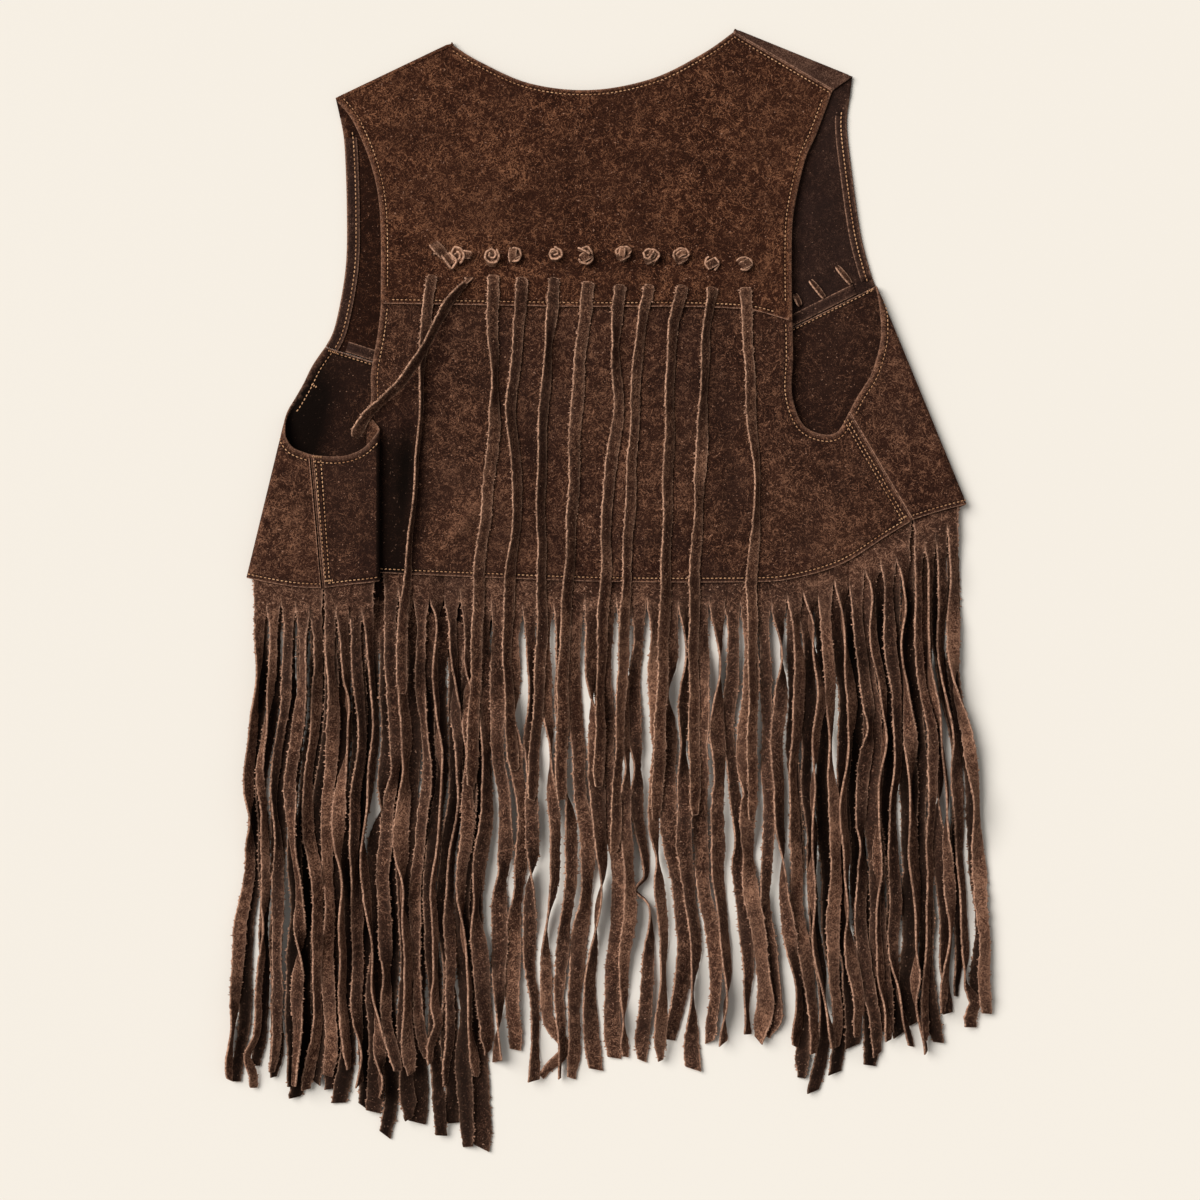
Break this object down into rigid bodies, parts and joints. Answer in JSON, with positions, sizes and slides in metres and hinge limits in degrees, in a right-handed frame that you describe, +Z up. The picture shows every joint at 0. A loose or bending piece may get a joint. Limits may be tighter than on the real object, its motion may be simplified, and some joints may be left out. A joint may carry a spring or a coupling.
{
  "type": "leather fringe vest",
  "caption": "Dark brown suede vest laid flat with its back up, with a yoke, knotted lacing thongs and a long cut fringe along the hem.",
  "frame": {"origin": "on the surface the vest lies on, under the middle of its length and width", "axes": "+X towards the wearer's right side, +Y from the fringe towards the neck, +Z up from the surface, out of the vest's back"},
  "size_m": [0.5378, 0.7849, 0.0167],
  "materials": {
    "suede_yoke": "napped suede, warm dark brown",
    "suede_panel": "napped suede, dark brown",
    "suede_front": "napped suede, cooler dark brown",
    "suede_fringe": "napped suede with raw cut edges",
    "suede_thong": "worn suede lace with pale cut edges"
  },
  "bodies": {
    "root": {"back_yoke": "suede_yoke", "back_panel": "suede_panel", "front_yoke_left": "suede_front", "front_yoke_right": "suede_front", "front_panel_left": "suede_front", "front_panel_right": "suede_front", "fringe_front_left": "suede_fringe", "fringe_front_right": "suede_fringe", "fringe_back": "suede_fringe", "fringe_back_left": "suede_fringe", "fringe_side_left": "suede_fringe", "fringe_side_right": "suede_fringe", "thong_01": "suede_thong", "thong_02": "suede_thong", "thong_03": "suede_thong", "thong_04": "suede_thong", "thong_05": "suede_thong", "thong_06": "suede_thong", "thong_07": "suede_thong", "thong_08": "suede_thong", "thong_09": "suede_thong", "thong_10": "suede_thong", "thong_11": "suede_thong", "inner_loop_1": "suede_thong", "inner_loop_2": "suede_thong", "inner_loop_3": "suede_thong"}
  },
  "joints": []
}
